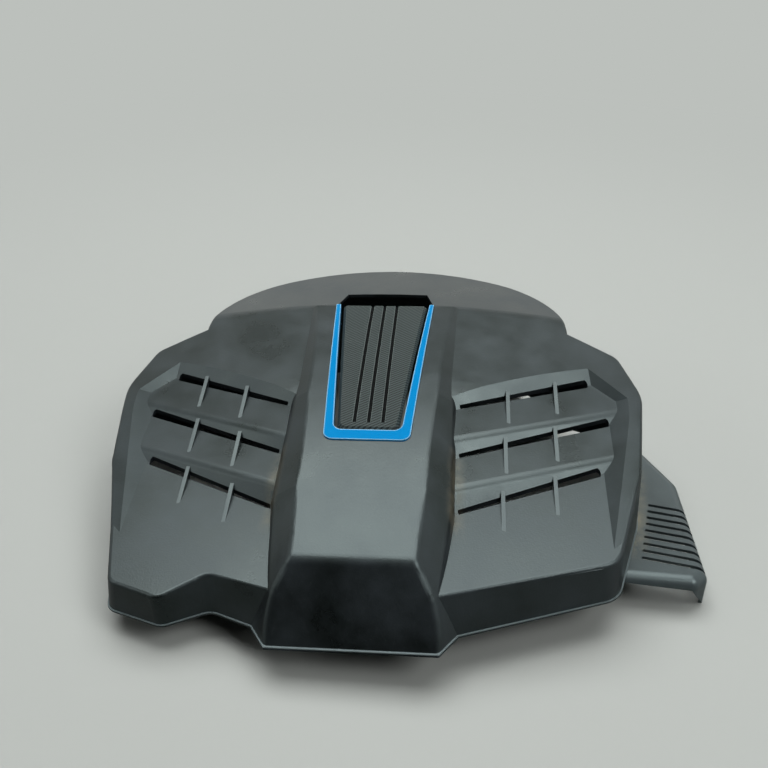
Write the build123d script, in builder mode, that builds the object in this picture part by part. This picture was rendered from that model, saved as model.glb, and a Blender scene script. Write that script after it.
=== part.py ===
# Engine cover: a moulded shell with a spine and louvres, its trim, insert, side vent and grommets
from build123d import *

import os
from math import atan, cos, radians, sin, sqrt, tan

os.makedirs("parts", exist_ok=True)

# Millimetres. x = 0 is the middle plane and +y points to the rear.
# y = 0 and z = 0 lie at the mouths of the two front stud sockets.

# Moulding
wall = 3.0
fit_gap = 0.3
base_z = -62.0
roof_z = 112.0
rim_front_y = -72.0
rim_front_z = -12.0
rim_fall = 0.075
rim_lip = 1.0
rim_lip_height = 1.6

# Roof: crowned slopes, the panel and the crest meeting in the ridge, the band falling to the front corners
crown_radius = 1000.0
crown_half = 270.0
ridge_y = 235.0
ridge_z = 88.5
panel_rise = 0.138
crest_fall = 0.10
band_y = -10.0
band_z = 36.0
band_rise = 0.285
ridge_radius = 40.0
band_radius = 200.0
edge_radius = 3.0
level = 0.6
upright = 0.4

# Plan of the deck, at shoulder height
shoulder_z = 19.0
nose_half = 58.0
front_y = -58.0
corner_x = 186.0
corner_y = -19.0
hip_x = 213.0
hip_y = 63.0
flank_x = 226.0
flank_y = 148.0
shoulder_x = 211.0
shoulder_y = 196.5
crest_half = 167.0
crest_root_y = 219.5
notch_x = 105.0
notch_y = -44.0
tip_x = 137.0
tip_y = -66.0
left_corner_x = 177.0
left_corner_y = -50.0
front_draft = 0.40
notch_draft = 0.22
corner_draft = 0.08
side_draft = 0.05
corner_radius = 24.0
left_corner_radius = 13.0
flank_radius = 45.0
shoulder_radius = 14.0
bend_radius = 14.0

# Plan of the crest
crest_front_y = 170.0
crest_side_y = 222.0
crest_cheek_x = 143.0
crest_cheek_y = 283.0
crest_back_x = 101.0
crest_back_y = 312.0
crest_rear_y = 331.0

# Apron: the front tread that runs to the skirt
apron_rise = 0.13
apron_fall = 0.05

# Louvres, from rear to front
louvre_sweep = 25.0
louvre_x = 70.0
louvre_y = (107.0, 61.0, 15.0)
louvre_z = (60.5, 45.5)
louvre_fall = (0.13, 0.10, apron_fall)
slot_start_x = 71.0
slot_end_x = (180.0, 194.0, 182.0)
slot_rear_inner = 2.7
slot_rear_outer = 4.2
slot_front_outer = -2.6
slot_inner_radius = 1.0
slot_outer_radius = 2.5
riser_lean = 45.0
riser_radius = 12.0
recess_side = (211.0, 142.0, 53.0)
recess_side_turn = 11.5
recess_side_lean = 59.5
recess_corner = (193.0, 156.0, 56.5)
recess_corner_turn = 55.0
recess_corner_lean = 35.0
fin_x = (110.5, 151.0)
fin_drift = 2.8
fin_width = 3.0
fin_back = 6.0
fin_length = 28.0

# Spine: station, half width and height of the top edge and of the brow, half width at the foot
spine_stations = (
    (235.0, 64.5, 88.0, 78.0, 79.6, 79.0),
    (108.0, 55.0, 74.0, 68.5, 65.6, 69.5),
    (10.0, 48.6, 56.0, 68.5, 43.0, 69.5),
    (-58.0, 42.5, 40.0, 58.4, 19.5, 88.0),
    (-86.0, 40.5, 35.0, 50.0, 14.0, 64.0),
)
spine_foot_z = -30.0
brow_radius = 14.0
crown_edge_radius = 6.0
nose_radius = 12.0
nose_break_y = -49.0
nose_break_z = 41.5
spine_mid_y = 55.0
spine_mid_z = 66.0
spine_top_z = 88.0
nose_foot_y = -83.0
nose_foot_z = -11.0

# Trim, insert and scoop on the spine
trim_rear_half = 45.5
trim_front_half = 33.5
trim_front_y = 54.5
trim_rear_y = 236.0
trim_rear_band = 4.0
trim_front_band = 7.5
trim_bar = 10.0
trim_proud = 1.2
trim_corner = 7.5
trim_edge = 0.8
pocket_depth = 5.0
insert_gap = 2.8
insert_sink = 0.4
insert_corner = 7.0
insert_ledge = 2.5
insert_chamfer = 2.5
groove_pitch = 11.3
groove_width = 3.0
groove_depth = 1.2
groove_end = 7.0
pin_radius = 1.4
pin_head = 2.6
pin_head_height = 1.6
pin_rear = 18.0
scoop_half = 38.0
scoop_rear_y = 264.5

# Stud sockets and grommets
front_stud_x = 130.0
rear_stud_x = 120.0
rear_stud_y = 202.0
rear_stud_z = 38.0
boss_radius = 11.0
grommet_radius = 7.5
grommet_length = 12.0
grommet_gap = 0.1
flange_radius = 10.5
flange_height = 2.0
stud_radius = 5.0
stud_depth = 10.0
rib_width = 2.0
rib_reach = 38.0
rib_front_z = 11.0
rib_rear_z = 60.0

# Side vent
vent_wall = 2.5
vent_front_y = 4.0
vent_toe_x = 250.0
vent_tip_x = 261.0
vent_tip_y = 14.0
vent_back_x = 263.0
vent_back_y = 134.0
vent_rear_x = 241.0
vent_rear_y = 186.0
vent_root_x = 170.0
vent_corner = 8.0
vent_edge_radius = 9.0
vent_hinge_x = 196.0
vent_fall = 0.06
vent_lip_z = -53.0
vent_lip_rise = 0.06
vent_front_lip = 8.5
vent_root_lip = 5.0
vent_flange_top = 0.0
vent_flange_start = 12.0
vent_flange_end = 150.0
vent_slot_count = 9
vent_slot_pitch = 8.7
vent_slot_width = 3.6
vent_slot_y = 28.5
vent_slot_x = 213.0
vent_slot_shift = 2.2
vent_slot_turn = -10.0
vent_slot_depth = 9.0


def deck_outline(z):
    drop = shoulder_z - z
    side = side_draft * drop
    right = [
        (corner_x + side, corner_y - corner_draft * drop),
        (hip_x + side, hip_y),
        (flank_x + side, flank_y),
        (shoulder_x + side, shoulder_y + side),
        (crest_half, crest_root_y + side),
        (crest_half - 2 * bend_radius, ridge_y),
    ]
    left = [(-x, y) for x, y in reversed(right[1:])]
    front = [
        (-left_corner_x - 3 * side, left_corner_y - corner_draft * drop),
        (-tip_x, tip_y - corner_draft * drop),
        (-notch_x, notch_y - notch_draft * drop),
        (-nose_half, front_y - front_draft * drop),
        (nose_half, front_y - front_draft * drop),
    ]
    return right + left + front


def deck_prism(inset):
    radii = [corner_radius, flank_radius, flank_radius, shoulder_radius, bend_radius, bend_radius]
    radii += radii[:0:-1]
    radii += [left_corner_radius, bend_radius, bend_radius, bend_radius, bend_radius]
    with BuildPart() as prism:
        for z in (base_z - inset, roof_z):
            with BuildSketch(Plane.XY.offset(z)):
                with BuildLine():
                    FilletPolyline(*deck_outline(z), radius=radii, close=True)
                make_face()
                if inset:
                    offset(amount=-inset, mode=Mode.REPLACE)
        loft(ruled=True)
    return prism.part


def crest_prism(inset):
    with BuildPart() as prism:
        with BuildSketch(Plane.XY.offset(base_z - inset)):
            with BuildLine():
                Polyline((-crest_half, crest_side_y), (-crest_half, crest_front_y),
                         (crest_half, crest_front_y), (crest_half, crest_side_y))
                ThreePointArc((crest_half, crest_side_y), (crest_cheek_x, crest_cheek_y),
                              (crest_back_x, crest_back_y))
                ThreePointArc((crest_back_x, crest_back_y), (0, crest_rear_y), (-crest_back_x, crest_back_y))
                ThreePointArc((-crest_back_x, crest_back_y), (-crest_cheek_x, crest_cheek_y),
                              (-crest_half, crest_side_y))
            make_face()
            if inset:
                offset(amount=-inset, mode=Mode.REPLACE)
        extrude(amount=roof_z - base_z + inset)
    return prism.part


def roof(y, z, rise):
    tilt = atan(rise)
    sag = crown_radius - sqrt(crown_radius**2 - crown_half**2)
    depth = roof_z - 3 * base_z
    slope = Plane(origin=(0, y, z), x_dir=(1, 0, 0), z_dir=(0, -cos(tilt), -sin(tilt)))
    with BuildPart() as under:
        with BuildSketch(slope):
            with BuildLine():
                ThreePointArc((-crown_half, -sag), (0, 0), (crown_half, -sag))
                Polyline((crown_half, -sag), (crown_half, -depth), (-crown_half, -depth), (-crown_half, -sag))
            make_face()
        extrude(amount=2 * crown_half, both=True)
    return under.part


def apron_height(x, y):
    return shoulder_z + apron_rise * (y - front_y) - apron_fall * (x - nose_half)


def tread_height(row, x, y):
    if row == len(louvre_z):
        return apron_height(x, y)
    return louvre_z[row] + apron_rise * (y - louvre_y[row]) - louvre_fall[row] * (x - louvre_x)


def slot_y(row, x):
    return louvre_y[row] + (x - louvre_x) * tan(radians(louvre_sweep))


def recess(grow):
    sweep = radians(louvre_sweep)
    lean = tan(radians(riser_lean))
    reach = 2 * crest_half
    with BuildPart() as cut:
        for row in range(len(louvre_y)):
            start = (0, slot_y(row, 0), tread_height(row, 0, slot_y(row, 0)))
            climb = apron_rise * sin(sweep) - louvre_fall[row] * cos(sweep)
            fall = apron_rise * cos(sweep) + louvre_fall[row] * sin(sweep)
            sink = wall if row == len(louvre_z) else 0
            run = Plane(origin=start, x_dir=(-sin(sweep), cos(sweep), 0),
                        z_dir=(cos(sweep), sin(sweep), climb))
            with BuildSketch(run):
                with BuildLine():
                    Polyline((-sink * lean, -sink), (-reach, -sink - fall * reach), (-reach, roof_z),
                             (roof_z * lean, roof_z), close=True)
                make_face()
                if grow:
                    offset(amount=grow, kind=Kind.INTERSECTION, mode=Mode.REPLACE)
            extrude(amount=reach)
        for point, turn, tip in (
            (recess_side, recess_side_turn, recess_side_lean),
            (recess_corner, recess_corner_turn, recess_corner_lean),
        ):
            outward = Vector(cos(radians(turn)), sin(radians(turn)), -tan(radians(tip))).normalized()
            split(bisect_by=Plane(origin=Vector(point) + outward * grow, z_dir=outward), keep=Keep.BOTTOM)
        for row in range(len(louvre_z)):
            y = slot_y(row + 1, fin_x[0]) + riser_radius
            top = Vertex(fin_x[0], y, tread_height(row, fin_x[0], y))
            fillet(edges().sort_by_distance(top)[0], radius=riser_radius - grow)
    return cut.part


def shoulder_edges():
    roofs = faces().filter_by(lambda face: face.normal_at().Z > level).edges()
    walls = faces().filter_by(lambda face: abs(face.normal_at().Z) < upright).edges()
    return [edge for edge in walls if edge in roofs]


def deck(inset):
    prism = deck_prism(inset)
    crest = crest_prism(inset)
    panel_roof = roof(ridge_y, ridge_z - inset, panel_rise)
    crest_roof = roof(ridge_y, ridge_z - inset, -crest_fall)
    band_roof = roof(band_y, band_z - inset, band_rise)
    cut = recess(inset)
    crease_y = (ridge_z - panel_rise * ridge_y - band_z + band_rise * band_y) / (band_rise - panel_rise)
    crease_z = band_z + band_rise * (crease_y - band_y)
    with BuildPart() as body:
        add(prism)
        add(crest)
        add(panel_roof, mode=Mode.INTERSECT)
        add(crest_roof, mode=Mode.INTERSECT)
        add(band_roof, mode=Mode.INTERSECT)
        if not inset:
            fillet(edges().sort_by_distance((0, ridge_y, ridge_z))[0], radius=ridge_radius)
            fillet(edges().sort_by_distance((0, crease_y, crease_z))[:2], radius=band_radius)
            fillet(shoulder_edges(), radius=edge_radius)
        add(cut, mode=Mode.SUBTRACT)
        add(mirror(cut, about=Plane.YZ, mode=Mode.PRIVATE), mode=Mode.SUBTRACT)
    return body.part


def apron(inset):
    prism = deck_prism(inset)
    with BuildPart() as body:
        add(prism)
        for side in (1, -1):
            normal = Vector(side * apron_fall, -apron_rise, 1).normalized()
            top = Plane(origin=(side * nose_half, front_y, shoulder_z - inset), z_dir=normal)
            split(bisect_by=top, keep=Keep.BOTTOM)
        if not inset:
            fillet(shoulder_edges(), radius=edge_radius)
    return body.part


crown_line = ThreePointArc((nose_break_y, nose_break_z), (spine_mid_y, spine_mid_z), (ridge_y, spine_top_z))
crown_centre = (crown_line.arc_center.X, crown_line.arc_center.Y)


def crown_band(low, high):
    with BuildPart() as band:
        with BuildSketch(Plane.YZ):
            with Locations(crown_centre):
                Circle(crown_line.radius + high)
                Circle(crown_line.radius + low, mode=Mode.SUBTRACT)
            with Locations(((trim_front_y + trim_rear_y) / 2, spine_mid_z)):
                Rectangle(2 * (trim_rear_y - trim_front_y), roof_z - base_z, mode=Mode.INTERSECT)
        extrude(amount=crest_half, both=True)
    return band.part


def spine(inset):
    with BuildPart() as body:
        for y, top_x, top_z, brow_x, brow_z, foot_x in spine_stations:
            lean = (brow_x - top_x) / (top_z - brow_z)
            high_x = top_x / 2
            high_z = top_z + (top_x - high_x) / lean
            low = base_z - inset
            right = [(high_x, high_z), (brow_x, brow_z), (foot_x, spine_foot_z), (foot_x, low)]
            left = [(-x, z) for x, z in reversed(right)]
            with BuildSketch(Plane.XZ.offset(-y)):
                with BuildLine():
                    FilletPolyline(*right, *left, close=True,
                                   radius=[0, brow_radius, 0, 0, 0, 0, brow_radius, 0])
                make_face()
                if inset:
                    offset(amount=-inset, kind=Kind.INTERSECTION, mode=Mode.REPLACE)
        loft(ruled=True)
        with BuildSketch(Plane.YZ):
            with BuildLine():
                crown = ThreePointArc((nose_break_y, nose_break_z), (spine_mid_y, spine_mid_z),
                                      (ridge_y, spine_top_z))
                slope = (nose_break_y - nose_foot_y) / (nose_break_z - nose_foot_z)
                low = base_z - 2 * inset
                rear = ridge_y + 2 * wall
                Polyline(crown @ 1, (rear, spine_top_z), (rear, low),
                         (nose_foot_y - slope * (nose_foot_z - low), low), crown @ 0)
            make_face()
            if inset:
                offset(amount=-inset, kind=Kind.INTERSECTION, mode=Mode.REPLACE)
        extrude(amount=crest_half, both=True, mode=Mode.INTERSECT)
        if not inset:
            fillet(edges().sort_by_distance((0, nose_break_y, nose_break_z))[0], radius=nose_radius)
            top = faces().filter_by(GeomType.CYLINDER).sort_by(SortBy.AREA)[-1]
            face = faces().sort_by_distance((0, nose_foot_y, nose_foot_z))[0]
            flow = faces().sort_by_distance((0, nose_break_y, nose_break_z))[0]
            borders = top.edges() + face.edges() + flow.edges()
            sides = borders.filter_by(lambda edge: abs(edge.center().X) > wall)
            fillet(sides.filter_by(lambda edge: edge.center().Z > spine_foot_z), radius=crown_edge_radius)
    return body.part


def trim_half(y):
    share = (y - trim_front_y) / (trim_rear_y - trim_front_y)
    return trim_front_half + share * (trim_rear_half - trim_front_half)


def tray(front, rear, front_half, rear_half, corner, height=roof_z):
    with BuildPart() as block:
        with BuildSketch(Plane.XY):
            with BuildLine():
                FilletPolyline((-rear_half, rear), (-front_half, front), (front_half, front),
                               (rear_half, rear), radius=[0, corner, corner, 0], close=True)
            make_face()
        extrude(amount=height)
    return block.part


def pocket(grow):
    block = tray(trim_front_y - fit_gap - grow, trim_rear_y + grow, trim_front_half + fit_gap + grow,
                 trim_rear_half + fit_gap + grow, trim_corner)
    band = crown_band(-pocket_depth - grow, roof_z)
    with BuildPart() as cut:
        add(block)
        add(band, mode=Mode.INTERSECT)
    return cut.part


def stud_places():
    front = [(side * front_stud_x, 0, 0) for side in (-1, 1)]
    rear = [(side * rear_stud_x, rear_stud_y, rear_stud_z) for side in (-1, 1)]
    return front + rear


def rim_height(y):
    return rim_front_z - rim_fall * (y - rim_front_y)


def vent_height(x, y):
    return rim_height(y) - fit_gap - vent_fall * (x - vent_hinge_x)


def stakes(places):
    shank_band = crown_band(-pocket_depth - wall - fit_gap - pin_head_height, -pocket_depth + pin_radius)
    head_band = crown_band(-pocket_depth - wall - fit_gap - pin_head_height, -pocket_depth - wall - fit_gap)
    solids = []
    for radius, band in ((pin_radius, shank_band), (pin_head, head_band)):
        with BuildPart() as pins:
            with BuildSketch(Plane.XY):
                with Locations(*places):
                    Circle(radius)
            extrude(amount=roof_z)
            add(band, mode=Mode.INTERSECT)
        solids.append(pins.part)
    return solids


def vent_body(inset):
    with BuildPart() as body:
        with BuildSketch(Plane.XY.offset(base_z)):
            with BuildLine():
                FilletPolyline((vent_root_x, vent_front_y), (vent_toe_x, vent_front_y),
                               (vent_tip_x, vent_tip_y), (vent_back_x, vent_back_y),
                               (vent_rear_x, vent_rear_y), (vent_root_x, vent_rear_y),
                               radius=[0, vent_corner, vent_corner, 2 * vent_corner, vent_corner, 0],
                               close=True)
            make_face()
            if inset:
                offset(amount=-inset, kind=Kind.INTERSECTION, mode=Mode.REPLACE)
        extrude(amount=roof_z)
        top_normal = Vector(vent_fall, rim_fall, 1).normalized()
        top_point = (vent_hinge_x, vent_front_y, vent_height(vent_hinge_x, vent_front_y) - inset)
        split(bisect_by=Plane(origin=top_point, z_dir=top_normal), keep=Keep.BOTTOM)
        top_edges = faces().sort_by(Axis.Z)[-1].edges()
        bends = top_edges.filter_by(lambda edge: edge.center().X > vent_rear_x)
        fillet(bends, radius=vent_edge_radius - inset)
    return body.part


# Cover shell
trim_bar_y = trim_front_y + trim_bar
trim_bar_half = trim_half(trim_bar_y) - trim_front_band
insert_front_y = trim_bar_y + insert_gap
insert_front_half = trim_bar_half - insert_gap
insert_rear_half = trim_rear_half - trim_rear_band - insert_gap
pin_front_y = insert_front_y + pin_rear
pin_rear_y = trim_rear_y - pin_rear
insert_pins = [(side * insert_front_half / 2, y) for side in (-1, 1) for y in (pin_front_y, pin_rear_y)]
trim_pins = [(0, trim_front_y + trim_bar / 2)]
trim_pins += [(side * (trim_half(y) - band / 2), y) for side in (-1, 1)
              for y, band in ((pin_front_y, trim_front_band), (pin_rear_y, trim_rear_band))]
outer_deck = deck(0)
outer_apron = apron(0)
outer_spine = spine(0)
outer_pocket = pocket(0)
inner_deck = deck(wall)
inner_apron = apron(wall)
inner_spine = spine(wall)
inner_pocket = pocket(wall)

with BuildPart() as hollow:
    add(inner_deck)
    add(inner_apron)
    add(inner_spine)
    add(inner_pocket, mode=Mode.SUBTRACT)
    for x, y, z in stud_places():
        rib_z = rib_rear_z if y else rib_front_z
        with BuildSketch(Plane.XY.offset(z + flange_height)):
            with Locations((x, y)):
                Circle(boss_radius)
        extrude(amount=roof_z, mode=Mode.SUBTRACT)
        with BuildSketch(Plane.XY.offset(rib_z)):
            with Locations((x, y)):
                Rectangle(2 * rib_reach, rib_width)
                Rectangle(rib_width, 2 * rib_reach)
        extrude(amount=roof_z, mode=Mode.SUBTRACT)

rim_normal = Vector(0, rim_fall, 1).normalized()
rim = Plane(origin=(0, rim_front_y, rim_front_z), z_dir=rim_normal)
lip_deck = deck_prism(-rim_lip)
lip_crest = crest_prism(-rim_lip)
lip_spine = spine(-rim_lip)

with BuildPart() as lip:
    add(lip_deck)
    add(lip_crest)
    add(lip_spine)
    split(bisect_by=rim.offset(rim_lip_height), keep=Keep.BOTTOM)

with BuildPart() as cover_shell:
    add(outer_deck)
    add(outer_apron)
    add(outer_spine)
    add(lip.part)
    for row in range(len(louvre_y)):
        end = slot_end_x[row]
        inner_y = slot_y(row, slot_start_x)
        outer_y = slot_y(row, end)
        slot_radii = [slot_inner_radius, slot_outer_radius, slot_outer_radius, slot_inner_radius]
        with BuildSketch(Plane.XY):
            with BuildLine():
                FilletPolyline((slot_start_x, inner_y), (end, outer_y + slot_front_outer),
                               (end, outer_y + slot_rear_outer), (slot_start_x, inner_y + slot_rear_inner),
                               radius=slot_radii, close=True)
            make_face()
            mirror(about=Plane.YZ)
        extrude(amount=roof_z, mode=Mode.SUBTRACT)
    for row in range(len(louvre_y)):
        for start in fin_x:
            x = start - row * fin_drift
            y = slot_y(row, x)
            z = tread_height(row, x, y)
            for side in (1, -1):
                with BuildSketch(Plane.YZ.offset(side * x)):
                    with BuildLine():
                        Polyline((y + fin_back, z - 4 * wall), (y + fin_back, z + fin_back),
                                 (y - fin_length, z - apron_rise * fin_length),
                                 (y - fin_length, z - 4 * wall), close=True)
                    make_face()
                extrude(amount=fin_width / 2, both=True)
    add(outer_pocket, mode=Mode.SUBTRACT)
    add(hollow.part, mode=Mode.SUBTRACT)
    for x, y, z in stud_places():
        with BuildSketch(Plane.XY.offset(z)):
            with Locations((x, y)):
                Circle(grommet_radius)
        extrude(amount=flange_height + grommet_length + fit_gap, mode=Mode.SUBTRACT)
    with BuildSketch(Plane.XY):
        with BuildLine():
            Polyline((-trim_rear_half, trim_rear_y), (trim_rear_half, trim_rear_y),
                     (scoop_half, scoop_rear_y), (-scoop_half, scoop_rear_y), close=True)
        make_face()
        with BuildLine():
            Polyline((trim_rear_half - trim_rear_band, trim_rear_y),
                     (insert_rear_half - insert_ledge, trim_rear_y),
                     (insert_front_half - insert_ledge, insert_front_y),
                     (trim_bar_half, insert_front_y), close=True)
        make_face()
        mirror(about=Plane.YZ)
        with Locations(*insert_pins, *trim_pins):
            Circle(pin_radius + fit_gap)
    extrude(amount=roof_z, mode=Mode.SUBTRACT)
    split(bisect_by=rim, keep=Keep.TOP)

cover_shell.part.label = "cover_shell"
export_step(cover_shell.part, "parts/cover_shell.step")

# Accent trim: a U seated in the pocket
trim_band = crown_band(-pocket_depth, trim_proud)
trim_stakes = stakes(trim_pins)

with BuildPart() as accent_trim:
    with BuildSketch(Plane.XY):
        with BuildLine():
            FilletPolyline((-trim_rear_half, trim_rear_y), (-trim_front_half, trim_front_y),
                           (trim_front_half, trim_front_y), (trim_rear_half, trim_rear_y),
                           radius=[0, trim_corner, trim_corner, 0], close=True)
        make_face()
        with BuildLine():
            FilletPolyline((trim_rear_band - trim_rear_half, trim_rear_y), (-trim_bar_half, trim_bar_y),
                           (trim_bar_half, trim_bar_y), (trim_rear_half - trim_rear_band, trim_rear_y),
                           radius=[0, insert_corner, insert_corner, 0], close=True)
        make_face(mode=Mode.SUBTRACT)
    extrude(amount=roof_z)
    add(trim_band, mode=Mode.INTERSECT)
    trim_top = faces().filter_by(GeomType.CYLINDER).sort_by(SortBy.AREA)[-1]
    fillet(trim_top.edges().filter_by(lambda edge: edge.center().Y < trim_rear_y - wall), radius=trim_edge)
    add(trim_stakes)

accent_trim.part.label = "accent_trim"
export_step(accent_trim.part, "parts/accent_trim.step")

# Insert panel: a grooved tongue between the arms of the trim
insert_block = tray(insert_front_y, trim_rear_y - fit_gap, insert_front_half, insert_rear_half, insert_corner)
insert_band = crown_band(-pocket_depth, -insert_sink)
groove_band = crown_band(-insert_sink - groove_depth, trim_proud)
insert_stakes = stakes(insert_pins)

with BuildPart() as grooves:
    with BuildSketch(Plane.XY):
        with Locations(*[(step * groove_pitch, insert_front_y + groove_end) for step in (-1, 0, 1)]):
            Rectangle(groove_width, trim_rear_y - insert_front_y, align=(Align.CENTER, Align.MIN))
    extrude(amount=roof_z)
    add(groove_band, mode=Mode.INTERSECT)

with BuildPart() as insert_panel:
    add(insert_block)
    add(insert_band, mode=Mode.INTERSECT)
    chamfer(edges().sort_by_distance((0, insert_front_y, roof_z))[0], length=insert_chamfer)
    add(grooves.part, mode=Mode.SUBTRACT)
    add(insert_stakes)

insert_panel.part.label = "insert_panel"
export_step(insert_panel.part, "parts/insert_panel.step")

# Grommets: rubber sockets that press over ball studs
grommet_names = ("front_left_grommet", "front_right_grommet", "rear_left_grommet", "rear_right_grommet")
for name, (x, y, z) in zip(grommet_names, stud_places()):
    with BuildPart() as grommet:
        with BuildSketch(Plane.XY.offset(z)):
            with Locations((x, y)):
                Circle(flange_radius)
        extrude(amount=flange_height)
        with BuildSketch(Plane.XY.offset(z + flange_height)):
            with Locations((x, y)):
                Circle(grommet_radius - grommet_gap)
        extrude(amount=grommet_length)
        with BuildSketch(Plane.XY.offset(z)):
            with Locations((x, y)):
                Circle(stud_radius)
        extrude(amount=stud_depth, mode=Mode.SUBTRACT)
    grommet.part.label = name
    export_step(grommet.part, f"parts/{name}.step")

# Side vent: a slotted wing whose flange is welded inside the skirt
flange_outside = deck_prism(wall + fit_gap)
flange_inside = deck_prism(wall + fit_gap + vent_wall)
vent_outside = vent_body(0)
vent_inside = vent_body(vent_wall)
vent_slope = Vector(vent_fall, rim_fall, 1).normalized()
vent_under = (vent_hinge_x, vent_front_y, vent_height(vent_hinge_x, vent_front_y) - vent_wall)

with BuildPart() as vent_flange:
    with BuildSketch(Plane.XY.offset(base_z)):
        with Locations((vent_root_x, vent_flange_start)):
            Rectangle(vent_tip_x - vent_root_x, vent_flange_end - vent_flange_start,
                      align=(Align.MIN, Align.MIN))
    extrude(amount=vent_flange_top - base_z)
    split(bisect_by=Plane(origin=vent_under, z_dir=vent_slope), keep=Keep.TOP)
    add(flange_outside, mode=Mode.INTERSECT)

with BuildPart() as side_vent:
    add(vent_outside)
    add(vent_inside, mode=Mode.SUBTRACT)
    add(vent_flange.part)
    add(flange_inside, mode=Mode.SUBTRACT)
    with BuildSketch(Plane.XZ.offset(-vent_tip_y)):
        with BuildLine():
            root_z = vent_height(vent_root_x, vent_front_y) - vent_root_lip
            toe_z = vent_height(vent_toe_x, vent_front_y) - vent_front_lip
            Polyline((vent_root_x, base_z), (vent_root_x, root_z), (vent_toe_x - vent_wall, toe_z),
                     (vent_tip_x, vent_lip_z), (vent_tip_x, base_z), close=True)
        make_face()
    extrude(amount=2 * vent_tip_y, mode=Mode.SUBTRACT)
    for step in range(vent_slot_count):
        x = vent_slot_x + step * vent_slot_shift
        y = vent_slot_y + step * vent_slot_pitch
        length = 2 * (vent_tip_x - x)
        turn = radians(vent_slot_turn)
        with BuildSketch(Plane.XY.offset(vent_height(vent_tip_x, y) - vent_slot_depth)):
            with Locations((x + cos(turn) * length / 2, y + sin(turn) * length / 2)):
                SlotOverall(length, vent_slot_width, rotation=vent_slot_turn)
        extrude(amount=roof_z, mode=Mode.SUBTRACT)
    lip_normal = Vector(0, -vent_lip_rise, 1).normalized()
    split(bisect_by=Plane(origin=(vent_tip_x, vent_front_y, vent_lip_z), z_dir=lip_normal), keep=Keep.TOP)

side_vent.part.label = "side_vent"
export_step(side_vent.part, "parts/side_vent.step")
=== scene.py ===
import bpy
import math
from mathutils import Matrix, Vector

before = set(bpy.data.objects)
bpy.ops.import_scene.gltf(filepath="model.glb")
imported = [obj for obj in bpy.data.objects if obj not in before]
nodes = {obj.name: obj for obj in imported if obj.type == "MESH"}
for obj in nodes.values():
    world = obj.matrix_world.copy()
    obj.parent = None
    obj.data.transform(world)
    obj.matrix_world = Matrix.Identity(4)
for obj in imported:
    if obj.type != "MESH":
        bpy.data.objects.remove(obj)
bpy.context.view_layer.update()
scene = bpy.context.scene
mm = 0.001
print("frame loaded:", len(nodes), "nodes")


# small helpers: colours, nodes, pattern sizes
def hexColor(code):
    parts = [int(code[i:i + 2], 16) / 255 for i in (1, 3, 5)]
    return tuple(c / 12.92 if c <= 0.04045 else ((c + 0.055) / 1.055) ** 2.4 for c in parts) + (1.0,)


def addNode(tree, kind, settings=None, links=None, values=None):
    node = tree.nodes.new("ShaderNode" + kind)
    for name, value in (settings or {}).items():
        setattr(node, name, value)
    for socket, value in (values or {}).items():
        node.inputs[socket].default_value = value
    for socket, source in (links or {}).items():
        tree.links.new(source, node.inputs[socket])
    return node


def newMaterial(name, settings):
    material = bpy.data.materials.new(name)
    material.use_nodes = True
    tree = material.node_tree
    shader = tree.nodes["Principled BSDF"]
    shader.inputs["Base Color"].default_value = hexColor(settings["color"])
    shader.inputs["Roughness"].default_value = settings["roughness"]
    shader.inputs["IOR"].default_value = settings["ior"]
    return material, tree, shader


def patternScale(size):
    return 1 / (size * mm)  # noise cells per metre from a size in millimetres


def waveScale(pitch):
    return 2 * math.pi / 20 / (pitch * mm)  # a wave texture repeats every 2 pi / (20 * scale)


# mask for painted edge highlights
def edgeHighlightMask(tree, settings):
    # near a sharp edge the rounded normal turns away from the true one
    rounded = addNode(tree, "Bevel", {"samples": 8}, values={"Radius": settings["edgeWidth"] * mm})
    surface = addNode(tree, "NewGeometry")
    dot = addNode(tree, "VectorMath", {"operation": "DOT_PRODUCT"},
                  {0: rounded.outputs["Normal"], 1: surface.outputs["Normal"]})
    mask = addNode(tree, "MapRange", links={"Value": dot.outputs["Value"]},
                   values={"From Min": settings["edgeFull"], "From Max": settings["edgeNone"],
                           "To Min": 1.0, "To Max": 0.0})
    return mask.outputs["Result"]


def dress(name, material):
    piece = nodes[name]
    piece.data.materials.clear()
    piece.data.materials.append(material)
    print("dressed", name)


# glass-filled nylon, injection moulded against a spark-eroded tool: charcoal and matt, with small flecks,
# faint flow clouds and a fine grain; such grain is about 0.3 mm and is drawn coarser so that it shows
nylonSettings = {
    "color": "#161a1b", "light": "#25292d", "dark": "#0c0f0f", "fleck": "#434a4a", "sheen": "#eaffff",
    "roughness": 0.33, "roughnessSpread": 0.08, "ior": 1.6,
    "cloud": 55.0, "darkAt": 0.35, "lightAt": 0.68, "smoothAt": 0.3, "roughAt": 0.7,
    "speck": 2.2, "fleckFrom": 0.58, "fleckFull": 0.80, "fleckShare": 0.22,
    "grain": 1.5, "grainDepth": 0.22, "grainStrength": 0.35,
}
ventSettings = {
    **nylonSettings, "color": "#404849", "light": "#464e50", "dark": "#3a4143", "fleck": "#626c6c",
}
# the rim lies in a sloping plane, z = -zero - fall * y; the top of its small lip is painted pale as a
# highlight
rimHighlightSettings = {"color": "#616b6d", "fall": 0.075, "zero": 17.4, "top": 1.5, "band": 0.4}

# dust that has settled along a seam: a line |x| = start + slope * y that fades to both sides and,
# past the core of its length, to both ends
seamDust = {
    "color": "#a3977a", "roughness": 0.75, "core": 0.6, "cloud": 14.0, "patchFrom": 0.35, "patchFull": 0.7,
}
valleyDust = {
    **seamDust, "start": 69.5, "slope": 0.0, "wide": 9.0, "yFrom": -12.0, "yTo": 66.0, "strength": 0.28,
}
jointDust = {
    **seamDust, "start": 203.4, "slope": 0.153, "wide": 15.0, "yFrom": 20.0, "yTo": 160.0, "strength": 0.6,
}


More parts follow.
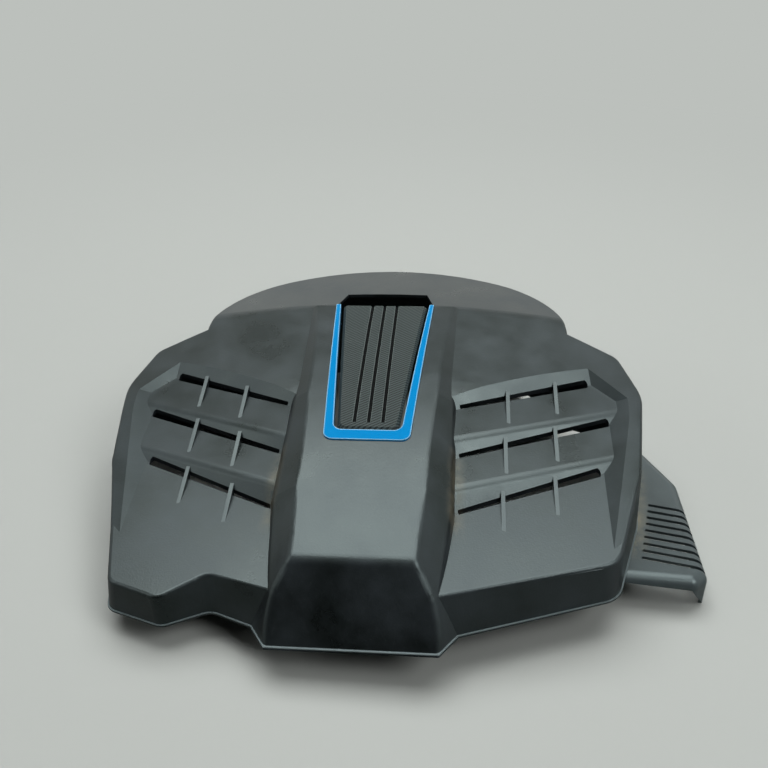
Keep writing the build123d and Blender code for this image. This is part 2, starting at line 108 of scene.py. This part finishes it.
def dustMask(tree, place, dust):
    axes = addNode(tree, "SeparateXYZ", links={"Vector": place})
    side = addNode(tree, "Math", {"operation": "ABSOLUTE"}, {0: axes.outputs["X"]})
    line = addNode(tree, "Math", {"operation": "MULTIPLY_ADD"}, {0: axes.outputs["Y"]},
                   {1: dust["slope"], 2: dust["start"] * mm})
    away = addNode(tree, "Math", {"operation": "SUBTRACT"},
                   {0: side.outputs["Value"], 1: line.outputs["Value"]})
    away = addNode(tree, "Math", {"operation": "ABSOLUTE"}, {0: away.outputs["Value"]})
    fade = addNode(tree, "MapRange", {"interpolation_type": "SMOOTHSTEP"}, {"Value": away.outputs["Value"]},
                   {"From Min": 0.0, "From Max": dust["wide"] * mm,
                    "To Min": dust["strength"], "To Max": 0.0})
    middle = (dust["yFrom"] + dust["yTo"]) / 2
    reach = dust["yTo"] - middle
    along = addNode(tree, "Math", {"operation": "SUBTRACT"}, {0: axes.outputs["Y"]}, {1: middle * mm})
    along = addNode(tree, "Math", {"operation": "ABSOLUTE"}, {0: along.outputs["Value"]})
    ends = addNode(tree, "MapRange", {"interpolation_type": "SMOOTHSTEP"}, {"Value": along.outputs["Value"]},
                   {"From Min": reach * dust["core"] * mm, "From Max": reach * mm,
                    "To Min": 1.0, "To Max": 0.0})
    cloud = addNode(tree, "TexNoise", links={"Vector": place},
                    values={"Scale": patternScale(dust["cloud"]), "Detail": 5.0, "Roughness": 0.65})
    patch = addNode(tree, "MapRange", links={"Value": cloud.outputs["Fac"]},
                    values={"From Min": dust["patchFrom"], "From Max": dust["patchFull"]})
    mask = addNode(tree, "Math", {"operation": "MULTIPLY"},
                   {0: fade.outputs["Result"], 1: ends.outputs["Result"]})
    mask = addNode(tree, "Math", {"operation": "MULTIPLY"},
                   {0: mask.outputs["Value"], 1: patch.outputs["Result"]})
    return mask.outputs["Value"]


def rimHighlightMask(tree, place, rim):
    axes = addNode(tree, "SeparateXYZ", links={"Vector": place})
    height = addNode(tree, "Math", {"operation": "MULTIPLY_ADD"},
                     {0: axes.outputs["Y"], 2: axes.outputs["Z"]}, {1: rim["fall"]})
    lip = addNode(tree, "Math", {"operation": "COMPARE"}, {0: height.outputs["Value"]},
                  {1: (rim["top"] - rim["zero"]) * mm, 2: rim["band"] * mm})
    return lip.outputs["Value"]


def mouldedNylon(name, settings, dust, rim):
    material, tree, shader = newMaterial(name, settings)
    place = addNode(tree, "TexCoord").outputs["Object"]
    cloud = addNode(tree, "TexNoise", links={"Vector": place},
                    values={"Scale": patternScale(settings["cloud"]), "Detail": 4.0, "Roughness": 0.6})
    speck = addNode(tree, "TexNoise", links={"Vector": place},
                    values={"Scale": patternScale(settings["speck"]), "Detail": 3.0, "Roughness": 0.7})
    grain = addNode(tree, "TexNoise", links={"Vector": place},
                    values={"Scale": patternScale(settings["grain"]), "Detail": 2.0})
    # colour: clouds, then flecks, then dust, then the painted highlight on the rim lip
    tone = addNode(tree, "ValToRGB", links={"Fac": cloud.outputs["Fac"]})
    tone.color_ramp.elements[0].position = settings["darkAt"]
    tone.color_ramp.elements[0].color = hexColor(settings["dark"])
    tone.color_ramp.elements[1].position = settings["lightAt"]
    tone.color_ramp.elements[1].color = hexColor(settings["light"])
    fleck = addNode(tree, "MapRange", links={"Value": speck.outputs["Fac"]},
                    values={"From Min": settings["fleckFrom"], "From Max": settings["fleckFull"],
                            "To Max": settings["fleckShare"]})
    flecked = addNode(tree, "Mix", {"data_type": "RGBA"},
                      {"Factor": fleck.outputs["Result"], "A": tone.outputs["Color"]},
                      {"B": hexColor(settings["fleck"])})
    dusted = dustMask(tree, place, dust)
    dusty = addNode(tree, "Mix", {"data_type": "RGBA"}, {"Factor": dusted, "A": flecked.outputs["Result"]},
                    {"B": hexColor(dust["color"])})
    # painted highlight: a pale band along the top of the rim lip
    rimHighlighted = addNode(tree, "Mix", {"data_type": "RGBA"},
                   {"Factor": rimHighlightMask(tree, place, rim), "A": dusty.outputs["Result"]},
                   {"B": hexColor(rim["color"])})
    tree.links.new(rimHighlighted.outputs["Result"], shader.inputs["Base Color"])
    # gloss: the clouds vary it a little, and dust is matt
    rough = addNode(tree, "MapRange", links={"Value": cloud.outputs["Fac"]},
                    values={"From Min": settings["smoothAt"], "From Max": settings["roughAt"],
                            "To Min": settings["roughness"] - settings["roughnessSpread"],
                            "To Max": settings["roughness"] + settings["roughnessSpread"]})
    matt = addNode(tree, "Mix", links={"Factor": dusted, "A": rough.outputs["Result"]},
                   values={"B": dust["roughness"]})
    tree.links.new(matt.outputs["Result"], shader.inputs["Roughness"])
    shader.inputs["Specular Tint"].default_value = hexColor(settings["sheen"])
    bump = addNode(tree, "Bump", links={"Height": grain.outputs["Fac"]},
                   values={"Strength": settings["grainStrength"], "Distance": settings["grainDepth"] * mm})
    tree.links.new(bump.outputs["Normal"], shader.inputs["Normal"])
    return material


# lacquered ABS: moulded, then sprayed a bright blue; along the moulded edges the colour is painted pale as a
# highlight
lacquerSettings = {
    "color": "#0084c4", "edge": "#9ccfe9", "sheen": "#20a8ff",
    "roughness": 0.34, "ior": 1.4, "specular": 0.15, "peel": 6.0, "peelDepth": 0.05, "peelStrength": 0.2,
    "edgeWidth": 1.6, "edgeFull": 0.90, "edgeNone": 0.99,
}


def blueLacquer(name, settings):
    material, tree, shader = newMaterial(name, settings)
    place = addNode(tree, "TexCoord").outputs["Object"]
    # painted highlight: the colour turns pale where the rounded normal turns away at an edge
    color = addNode(tree, "Mix", {"data_type": "RGBA"}, {"Factor": edgeHighlightMask(tree, settings)},
                    {"A": hexColor(settings["color"]), "B": hexColor(settings["edge"])})
    tree.links.new(color.outputs["Result"], shader.inputs["Base Color"])
    shader.inputs["Specular Tint"].default_value = hexColor(settings["sheen"])
    shader.inputs["Specular IOR Level"].default_value = settings["specular"]
    peel = addNode(tree, "TexNoise", links={"Vector": place},
                   values={"Scale": patternScale(settings["peel"]), "Detail": 2.0})
    bump = addNode(tree, "Bump", links={"Height": peel.outputs["Fac"]},
                   values={"Strength": settings["peelStrength"], "Distance": settings["peelDepth"] * mm})
    tree.links.new(bump.outputs["Normal"], shader.inputs["Normal"])
    return material


# ABS with a woven film moulded on: a diagonal twill, satin, with the thread spacing at about its real size;
# its three grooves are plain and dull and painted dark as shade, and its edges are painted pale as a
# highlight
twillSettings = {
    "color": "#2f3735", "thread": "#454f4e", "gap": "#181d1d", "roughness": 0.5, "ior": 1.4, "specular": 0.22,
    "pitch": 2.4, "ribWander": 0.4, "cross": 1.2, "crossWander": 0.6, "crossShare": 0.35, "turn": 32.0,
    "gapAt": 0.15, "threadAt": 0.95, "weaveDepth": 0.3, "weaveStrength": 0.6,
    "groove": "#0e1010", "grooveRoughness": 1.0, "groovePitch": 11.3, "grooveHalf": 1.45, "grooveFront": 74.0,
    "edge": "#7e8b88", "edgeWidth": 0.7, "edgeFull": 0.85, "edgeNone": 0.98,
}


def grooveMask(tree, place, settings):
    # the nearest groove line from the middle plane, behind the grooves' front end
    axes = addNode(tree, "SeparateXYZ", links={"Vector": place})
    side = addNode(tree, "Math", {"operation": "ABSOLUTE"}, {0: axes.outputs["X"]})
    outer = addNode(tree, "Math", {"operation": "SUBTRACT"}, {0: side.outputs["Value"]},
                    {1: settings["groovePitch"] * mm})
    outer = addNode(tree, "Math", {"operation": "ABSOLUTE"}, {0: outer.outputs["Value"]})
    nearest = addNode(tree, "Math", {"operation": "MINIMUM"},
                      {0: side.outputs["Value"], 1: outer.outputs["Value"]})
    within = addNode(tree, "Math", {"operation": "LESS_THAN"}, {0: nearest.outputs["Value"]},
                     {1: settings["grooveHalf"] * mm})
    behind = addNode(tree, "Math", {"operation": "GREATER_THAN"}, {0: axes.outputs["Y"]},
                     {1: settings["grooveFront"] * mm})
    groove = addNode(tree, "Math", {"operation": "MULTIPLY"},
                     {0: within.outputs["Value"], 1: behind.outputs["Value"]})
    return groove.outputs["Value"]


def twillFilm(name, settings):
    material, tree, shader = newMaterial(name, settings)
    place = addNode(tree, "TexCoord").outputs["Object"]
    turned = addNode(tree, "Mapping", links={"Vector": place},
                     values={"Rotation": (0, 0, math.radians(-settings["turn"]))})
    rib = addNode(tree, "TexWave", {"wave_type": "BANDS", "bands_direction": "Y"},
                  {"Vector": turned.outputs["Vector"]},
                  {"Scale": waveScale(settings["pitch"]), "Distortion": settings["ribWander"], "Detail": 1.0})
    cross = addNode(tree, "TexWave", {"wave_type": "BANDS", "bands_direction": "X"},
                    {"Vector": turned.outputs["Vector"]},
                    {"Scale": waveScale(settings["cross"]), "Distortion": settings["crossWander"],
                     "Detail": 1.0})
    weave = addNode(tree, "Math", {"operation": "MULTIPLY_ADD"},
                    {0: cross.outputs["Fac"], 2: rib.outputs["Fac"]}, {1: settings["crossShare"]})
    # colour: threads and gaps, then painted edge highlights, then the grooves darkened as painted shade
    tone = addNode(tree, "ValToRGB", links={"Fac": weave.outputs["Value"]})
    tone.color_ramp.elements[0].position = settings["gapAt"]
    tone.color_ramp.elements[0].color = hexColor(settings["gap"])
    tone.color_ramp.elements[1].position = settings["threadAt"]
    tone.color_ramp.elements[1].color = hexColor(settings["thread"])
    # painted highlight: the edges are coloured pale
    edgeHighlighted = addNode(tree, "Mix", {"data_type": "RGBA"},
                     {"Factor": edgeHighlightMask(tree, settings), "A": tone.outputs["Color"]},
                     {"B": hexColor(settings["edge"])})
    groove = grooveMask(tree, place, settings)
    # painted shade: the grooves are coloured dark
    color = addNode(tree, "Mix", {"data_type": "RGBA"}, {"Factor": groove, "A": edgeHighlighted.outputs["Result"]},
                    {"B": hexColor(settings["groove"])})
    tree.links.new(color.outputs["Result"], shader.inputs["Base Color"])
    dull = addNode(tree, "MapRange", links={"Value": groove},
                   values={"To Min": settings["roughness"], "To Max": settings["grooveRoughness"]})
    tree.links.new(dull.outputs["Result"], shader.inputs["Roughness"])
    shader.inputs["Specular IOR Level"].default_value = settings["specular"]
    bump = addNode(tree, "Bump", links={"Height": weave.outputs["Value"]},
                   values={"Strength": settings["weaveStrength"], "Distance": settings["weaveDepth"] * mm})
    tree.links.new(bump.outputs["Normal"], shader.inputs["Normal"])
    return material


# EPDM rubber, moulded: black, dull, with a dusty bloom
rubberSettings = {"color": "#1d1d1e", "bloom": "#2b2b2b", "roughness": 0.78, "ior": 1.52, "cloud": 5.0}


def mouldedRubber(name, settings):
    material, tree, shader = newMaterial(name, settings)
    place = addNode(tree, "TexCoord").outputs["Object"]
    cloud = addNode(tree, "TexNoise", links={"Vector": place},
                    values={"Scale": patternScale(settings["cloud"]), "Detail": 5.0})
    tone = addNode(tree, "ValToRGB", links={"Fac": cloud.outputs["Fac"]})
    tone.color_ramp.elements[0].color = hexColor(settings["color"])
    tone.color_ramp.elements[1].color = hexColor(settings["bloom"])
    tree.links.new(tone.outputs["Color"], shader.inputs["Base Color"])
    return material


dress("cover_shell", mouldedNylon("moulded charcoal nylon", nylonSettings, valleyDust, rimHighlightSettings))
dustyNylon = mouldedNylon("moulded charcoal nylon, dusty joint", ventSettings, jointDust, rimHighlightSettings)
dress("side_vent", dustyNylon)
dress("accent_trim", blueLacquer("blue lacquered ABS", lacquerSettings))
dress("insert_panel", twillFilm("twill film on moulded ABS", twillSettings))
rubber = mouldedRubber("moulded EPDM rubber", rubberSettings)
for name in nodes:
    if name.endswith("grommet"):
        dress(name, rubber)

# floor: the cover leans on its vent lip, so the plane under it is tilted a little in the cover's own frame
floorSettings = {
    "size": 40.0, "height": -42.0, "lean": 2.5, "color": "#b2b6b2", "roughness": 0.7, "ior": 1.45,
    "mirrored": "#666966", "fadeFrom": 0.5, "fadeTo": 1.6,
}
# the backdrop is pale where it is seen and dim as a light; reflections find it dark towards the front,
# as in a room
backdropSettings = {"color": "#bcc0bc", "lit": 0.04, "darkFrom": -0.2, "darkTo": -0.8}


def seenRays(tree):
    path = addNode(tree, "LightPath")
    mirrored = addNode(tree, "Math", {"operation": "MAXIMUM"},
                       {0: path.outputs["Is Glossy Ray"], 1: path.outputs["Is Transmission Ray"]})
    return path.outputs["Is Camera Ray"], mirrored.outputs["Value"]


def makeFloor(settings, farColor):
    half = settings["size"] / 2
    corners = [(-half, -half, 0), (half, -half, 0), (half, half, 0), (-half, half, 0)]
    mesh = bpy.data.meshes.new("floor")
    mesh.from_pydata(corners, [], [(0, 1, 2, 3)])
    floor = bpy.data.objects.new("floor", mesh)
    floor.location.z = settings["height"] * mm
    floor.rotation_euler.y = math.radians(settings["lean"])
    scene.collection.objects.link(floor)
    material, tree, shader = newMaterial("pale studio floor", settings)
    mesh.materials.append(material)
    # reflections find the floor close by darker, as they do the backdrop towards the front
    camera, mirrored = seenRays(tree)
    color = addNode(tree, "Mix", {"data_type": "RGBA"}, {"Factor": mirrored},
                    {"A": hexColor(settings["color"]), "B": hexColor(settings["mirrored"])})
    tree.links.new(color.outputs["Result"], shader.inputs["Base Color"])
    # away from the cover the floor is seen in the backdrop's colour, so that no horizon shows
    place = addNode(tree, "TexCoord").outputs["Object"]
    away = addNode(tree, "VectorMath", {"operation": "LENGTH"}, {0: place})
    fade = addNode(tree, "MapRange", {"interpolation_type": "SMOOTHSTEP"}, {"Value": away.outputs["Value"]},
                   {"From Min": settings["fadeFrom"], "From Max": settings["fadeTo"]})
    seen = addNode(tree, "Math", {"operation": "MAXIMUM"}, {0: camera, 1: mirrored})
    fade = addNode(tree, "Math", {"operation": "MULTIPLY"},
                   {0: fade.outputs["Result"], 1: seen.outputs["Value"]})
    far = addNode(tree, "Emission", values={"Color": hexColor(farColor)})
    above = addNode(tree, "MixShader", links={0: fade.outputs["Value"], 1: shader.outputs["BSDF"],
                                              2: far.outputs["Emission"]})
    # from below it is clear, so that the cover's underside can be looked at
    below = addNode(tree, "NewGeometry").outputs["Backfacing"]
    clear = addNode(tree, "BsdfTransparent").outputs["BSDF"]
    shown = addNode(tree, "MixShader", links={0: below, 1: above.outputs["Shader"], 2: clear})
    tree.links.new(shown.outputs["Shader"], tree.nodes["Material Output"].inputs["Surface"])


makeFloor(floorSettings, backdropSettings["color"])
print("floor laid")

# light: a soft box overhead, one to each side in front for the risers, and a low strip behind
lightSettings = {
    "over": {"place": (0, 0.85, 3.0), "aim": (0, 0.85, 0), "wide": 3.4, "deep": 2.4, "glow": 4.2},
    "right": {"place": (2.7, -1.4, 3.0), "aim": (0.2, 0, 0), "wide": 1.8, "deep": 1.8, "glow": 6.2},
    "left": {"place": (-4.0, -0.9, 2.8), "aim": (-0.2, 0, 0), "wide": 1.8, "deep": 1.8, "glow": 1.8},
    "back": {"place": (0, 3.8, 1.0), "aim": (0, 0.2, 0.05), "wide": 5.0, "deep": 1.0, "glow": 0.5},
}


def makeLight(name, settings):
    lamp = bpy.data.lights.new(name, "AREA")
    lamp.shape = "RECTANGLE"
    lamp.size = settings["wide"]
    lamp.size_y = settings["deep"]
    lamp.energy = settings["glow"] * math.pi * settings["wide"] * settings["deep"]  # a flat lamp's watts
    holder = bpy.data.objects.new(name, lamp)
    holder.location = settings["place"]
    aim = Vector(settings["aim"]) - Vector(settings["place"])
    holder.rotation_euler = aim.to_track_quat("-Z", "Y").to_euler()
    holder.visible_camera = False
    scene.collection.objects.link(holder)


def makeBackdrop(settings):
    world = bpy.data.worlds.new("studio")
    world.use_nodes = True
    tree = world.node_tree
    backdrop = tree.nodes["Background"]
    backdrop.inputs["Color"].default_value = hexColor(settings["color"])
    camera, mirrored = seenRays(tree)
    direction = addNode(tree, "TexCoord").outputs["Generated"]
    axes = addNode(tree, "SeparateXYZ", links={"Vector": direction})
    rear = addNode(tree, "MapRange", links={"Value": axes.outputs["Y"]},
                   values={"From Min": settings["darkTo"], "From Max": settings["darkFrom"]})
    mirrored = addNode(tree, "Math", {"operation": "MULTIPLY"}, {0: mirrored, 1: rear.outputs["Result"]})
    seen = addNode(tree, "Math", {"operation": "MAXIMUM"}, {0: camera, 1: mirrored.outputs["Value"]})
    strength = addNode(tree, "MapRange", links={"Value": seen.outputs["Value"]},
                       values={"To Min": settings["lit"], "To Max": 1.0})
    tree.links.new(strength.outputs["Result"], backdrop.inputs["Strength"])
    scene.world = world


for lightName, settings in lightSettings.items():
    makeLight(lightName, settings)
makeBackdrop(backdropSettings)
scene.view_settings.view_transform = "Standard"
print("lights set")

# camera at the photograph's place, in millimetres and unit vectors of the cover's frame
cameraSettings = {
    "place": (71.5, -462.5, 449.3), "right": (0.9957, 0.0859, -0.0339),
    "forward": (-0.0907, 0.8382, -0.5378), "lens": 39.5, "sensor": 36.0,
}


def makeCamera(settings):
    data = bpy.data.cameras.new("camera")
    data.lens = settings["lens"]
    data.sensor_width = settings["sensor"]
    camera = bpy.data.objects.new("camera", data)
    back = -Vector(settings["forward"]).normalized()
    right = Vector(settings["right"]).normalized()
    up = back.cross(right)
    turn = Matrix((right, up, back)).transposed()
    camera.matrix_world = Matrix.Translation(Vector(settings["place"]) * mm) @ turn.to_4x4()
    scene.collection.objects.link(camera)
    scene.camera = camera


makeCamera(cameraSettings)
print("camera set")
